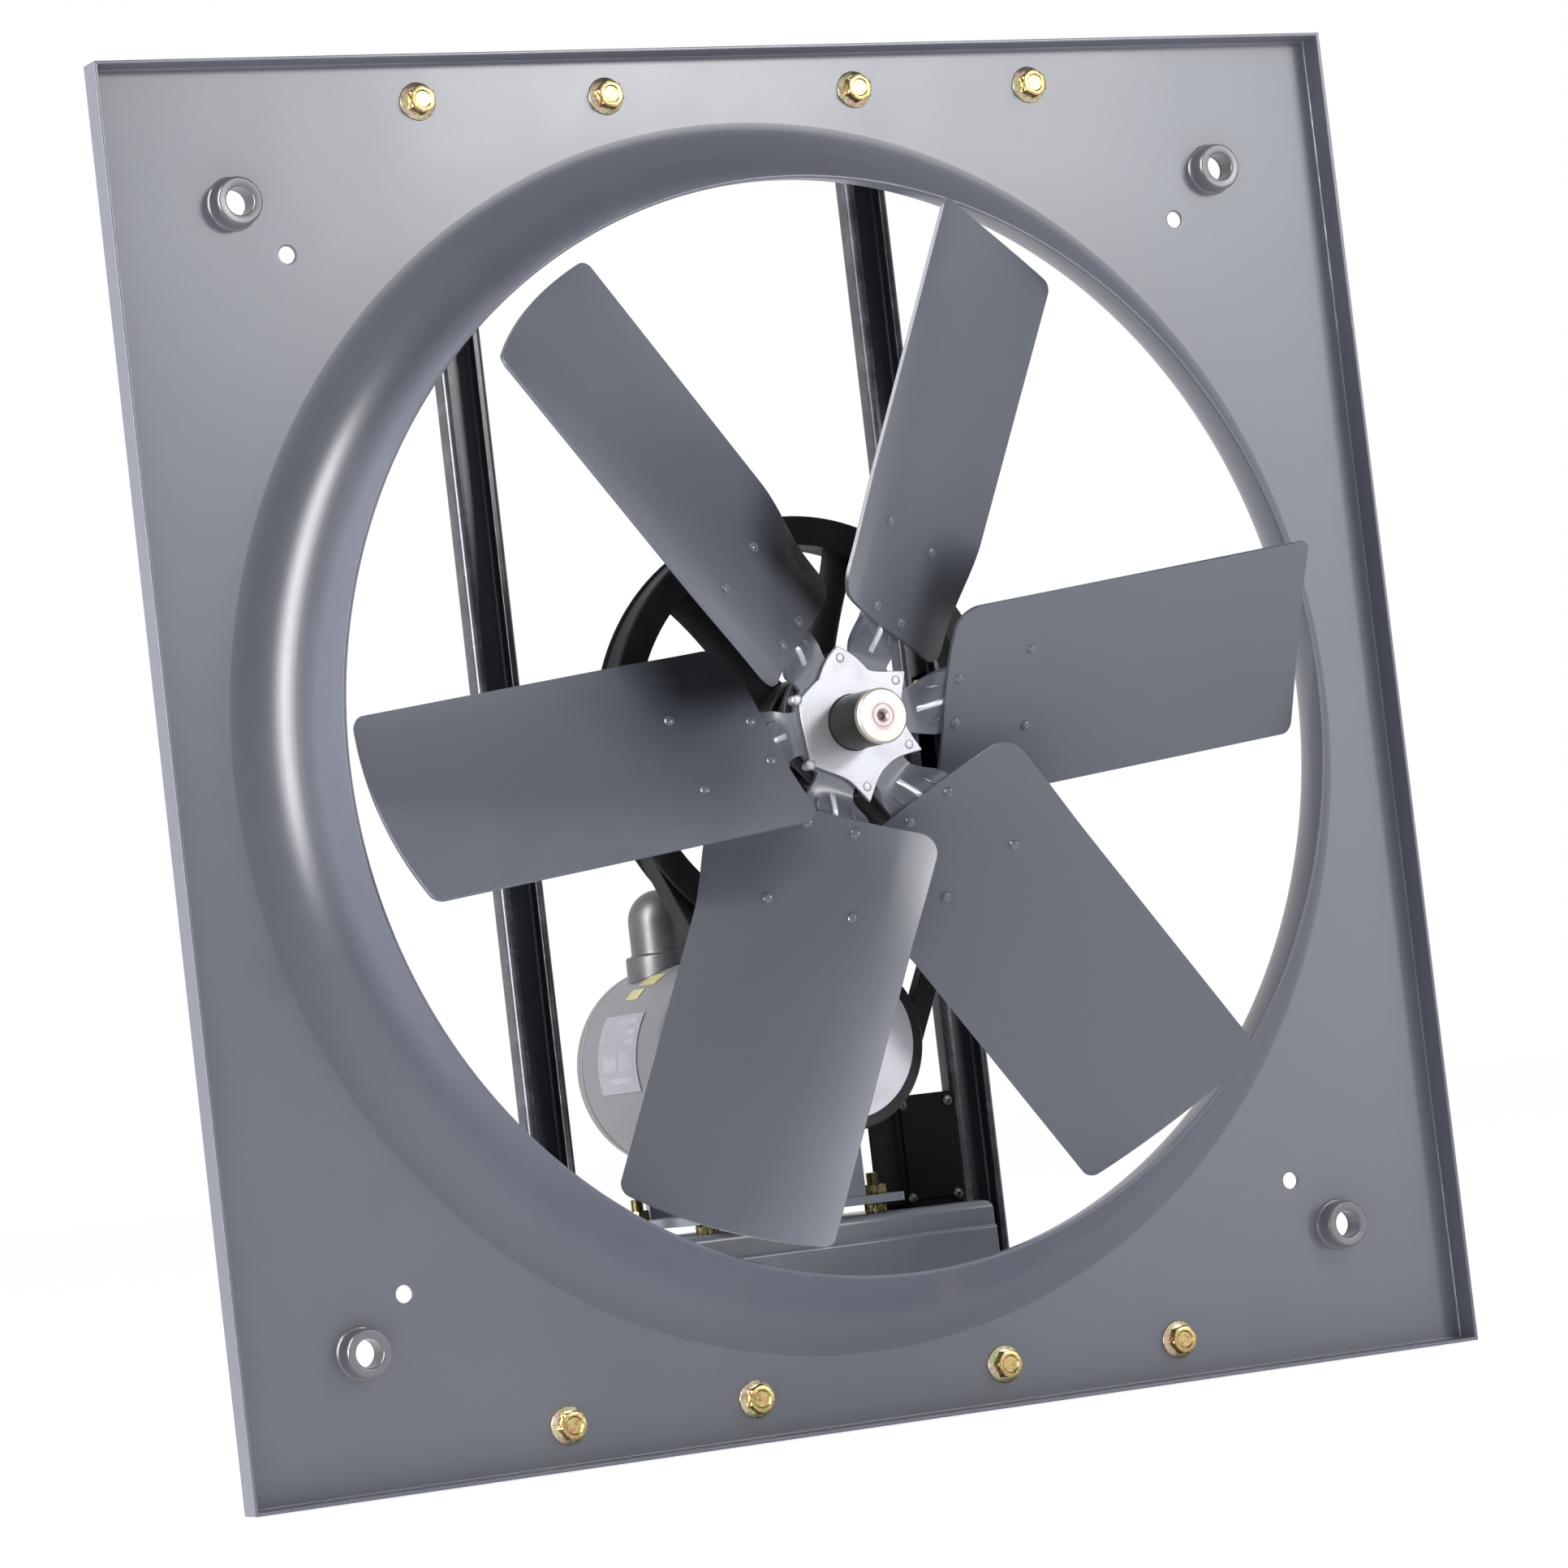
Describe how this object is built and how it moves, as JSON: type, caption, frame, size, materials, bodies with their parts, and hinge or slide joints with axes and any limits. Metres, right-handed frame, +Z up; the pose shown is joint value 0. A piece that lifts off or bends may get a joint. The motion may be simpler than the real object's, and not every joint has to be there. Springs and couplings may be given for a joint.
{
  "type": "axial exhaust fan",
  "caption": "Belt driven axial exhaust fan: propeller in a bell mouth drawn from a square sheet panel, with the motor hung behind on a post frame.",
  "frame": {"origin": "centre of the wall fixing holes on the panel's front face, where the fan shaft's centre line crosses it", "axes": "+Z up, +Y from the viewer's side to the motor's side along the fan shaft, +X to the viewer's right"},
  "size_m": [0.8, 0.3534, 0.8],
  "materials": {
    "sheet_paint": "blue grey enamel, semi-gloss",
    "post_paint": "near-black enamel, semi-gloss",
    "blade_paint": "blue grey enamel, semi-gloss",
    "bright_plate": "bright plated steel",
    "turned_steel": "turned, lightly oiled",
    "bearing_steel": "ground",
    "rivet_aluminium": "plain",
    "yellow_zinc": "yellow passivated zinc",
    "cast_iron_black": "black paint over cast iron",
    "belt_rubber": "matte",
    "sheave_aluminium": "turned",
    "motor_paint": "warm light grey enamel",
    "plain_zinc": "bright zinc",
    "winding": "laminated core and varnished windings",
    "rotor_core": "turned laminations",
    "cover_plastic": "moulded",
    "blank_plate": "blank label",
    "box_plastic": "moulded black"
  },
  "bodies": {
    "frame": {"panel": "sheet_paint", "corner_spacers": "sheet_paint", "panel_bolts": "yellow_zinc", "panel_nuts": "yellow_zinc", "upper_left_leg": "sheet_paint", "upper_right_leg": "sheet_paint", "lower_left_leg": "sheet_paint", "lower_right_leg": "sheet_paint", "left_post": "post_paint", "right_post": "post_paint", "post_bolts": "yellow_zinc", "bearing_bridge": "sheet_paint", "bridge_bolts": "yellow_zinc", "bearing_cartridge": "cast_iron_black", "cartridge_bolts": "yellow_zinc", "bearing_outer_rings": "bearing_steel", "bearing_balls": "bearing_steel", "retaining_rings": "turned_steel", "v_belt": "belt_rubber", "motor_shell": "motor_paint", "motor_front_bell": "motor_paint", "motor_rear_bell": "motor_paint", "motor_through_bolts": "plain_zinc", "motor_stator": "winding", "motor_bearings": "bearing_steel", "capacitor_cover": "cover_plastic", "rating_plate": "blank_plate", "motor_cradle": "sheet_paint", "cradle_studs": "yellow_zinc", "cradle_nuts": "yellow_zinc", "motor_tray": "sheet_paint", "left_tray_cleat": "sheet_paint", "right_tray_cleat": "sheet_paint", "cleat_bolts": "yellow_zinc", "junction_box": "box_plastic", "junction_box_lid": "box_plastic", "lid_screws": "plain_zinc", "cable_gland": "box_plastic"},
    "propeller": {"fan_shaft": "turned_steel", "bearing_inner_rings": "bearing_steel", "bearing_sleeve": "turned_steel", "locking_collar": "turned_steel", "shaft_keys": "turned_steel", "hub_barrel": "cast_iron_black", "hub_spider": "blade_paint", "hub_plate": "bright_plate", "hub_rivets": "rivet_aluminium", "blade_1": "blade_paint", "blade_2": "blade_paint", "blade_3": "blade_paint", "blade_4": "blade_paint", "blade_5": "blade_paint", "blade_6": "blade_paint", "blade_rivets": "rivet_aluminium", "driven_sheave": "cast_iron_black"},
    "rotor": {"motor_shaft": "turned_steel", "motor_rotor": "rotor_core", "motor_sheave": "sheave_aluminium"}
  },
  "joints": [
    {"name": "propeller_spin", "type": "hinge", "parent": "frame", "child": "propeller", "pos_m": [0, 0, 0], "axis": [0, 1, 0], "continuous": true},
    {"name": "rotor_spin", "type": "hinge", "parent": "frame", "child": "rotor", "pos_m": [0, 0, -0.18], "axis": [0, 1, 0], "continuous": true}
  ],
  "couplings": [
    {"joint": "rotor_spin", "follows": "propeller_spin", "ratio": 2.6593}
  ]
}
